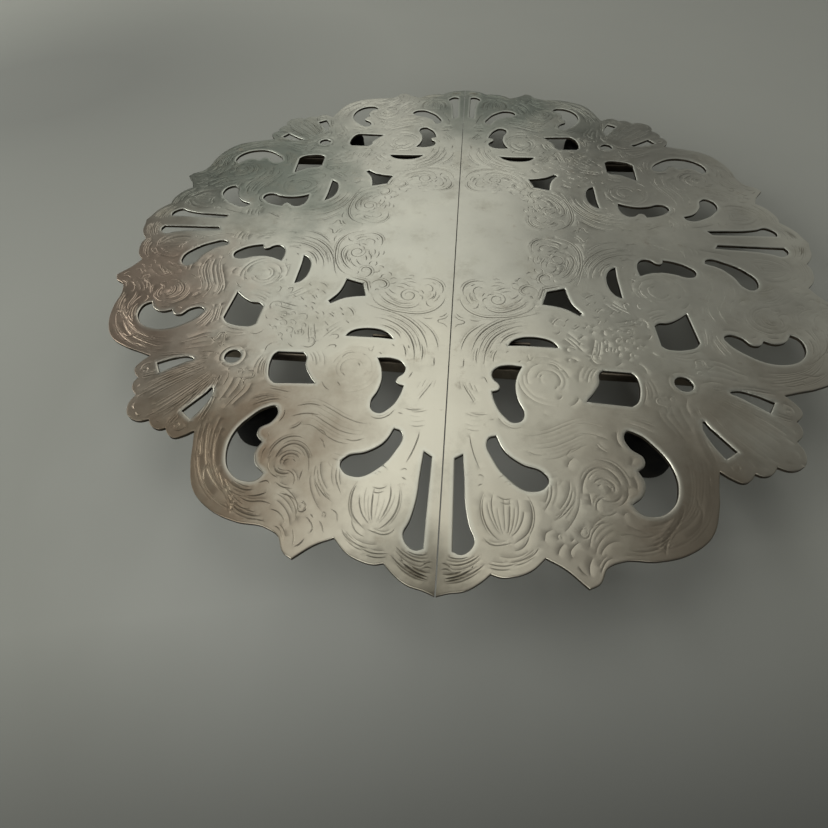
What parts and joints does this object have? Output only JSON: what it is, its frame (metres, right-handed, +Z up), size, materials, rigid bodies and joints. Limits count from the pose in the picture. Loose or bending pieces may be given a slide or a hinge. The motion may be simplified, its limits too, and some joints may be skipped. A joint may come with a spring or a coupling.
{
  "type": "extending trivet",
  "caption": "Extending table trivet: two pierced and engraved silver-plated half plates on black feet, joined by slide bars in channels underneath.",
  "frame": {"origin": "on the surface the feet stand on, under the middle of the closed plate", "axes": "+Z up; X is the direction in which the halves draw apart; Y runs along the seam between them"},
  "size_m": [0.2248, 0.2248, 0.018],
  "materials": {
    "silver_plate": "silver plate on base metal, satin, pierced and engraved, lightly tarnished",
    "channel_steel": "folded steel, brown with tarnish",
    "bar_steel": "drawn steel bar, rubbed bright where it slides",
    "foot_black": "matt black moulded plastic",
    "fastener_steel": "turned steel"
  },
  "bodies": {
    "left_half": {"left_plate": "silver_plate", "front_left_channel": "channel_steel", "front_left_channel_strap": "channel_steel", "front_left_foot_boss": "channel_steel", "front_left_foot": "foot_black", "front_left_foot_washer": "fastener_steel", "front_left_foot_screw": "fastener_steel", "rear_left_channel": "channel_steel", "rear_left_channel_strap": "channel_steel", "rear_left_foot_boss": "channel_steel", "rear_left_foot": "foot_black", "rear_left_foot_washer": "fastener_steel", "rear_left_foot_screw": "fastener_steel"},
    "front_bar": {"front_slide_bar": "bar_steel", "front_left_stop_pin": "fastener_steel", "front_right_stop_pin": "fastener_steel"},
    "rear_bar": {"rear_slide_bar": "bar_steel", "rear_left_stop_pin": "fastener_steel", "rear_right_stop_pin": "fastener_steel"},
    "right_half": {"right_plate": "silver_plate", "front_right_channel": "channel_steel", "front_right_channel_strap": "channel_steel", "front_right_foot_boss": "channel_steel", "front_right_foot": "foot_black", "front_right_foot_washer": "fastener_steel", "front_right_foot_screw": "fastener_steel", "rear_right_channel": "channel_steel", "rear_right_channel_strap": "channel_steel", "rear_right_foot_boss": "channel_steel", "rear_right_foot": "foot_black", "rear_right_foot_washer": "fastener_steel", "rear_right_foot_screw": "fastener_steel"}
  },
  "joints": [
    {"name": "left_half_draw", "type": "slide", "parent": "left_half", "child": "front_bar", "axis": [1, 0, 0], "range_m": [0, 0.054]},
    {"name": "rear_bar_draw", "type": "slide", "parent": "left_half", "child": "rear_bar", "axis": [1, 0, 0], "range_m": [0, 0.054]},
    {"name": "right_half_draw", "type": "slide", "parent": "front_bar", "child": "right_half", "axis": [1, 0, 0], "range_m": [0, 0.054]}
  ],
  "couplings": [
    {"joint": "rear_bar_draw", "follows": "left_half_draw", "ratio": 1}
  ]
}
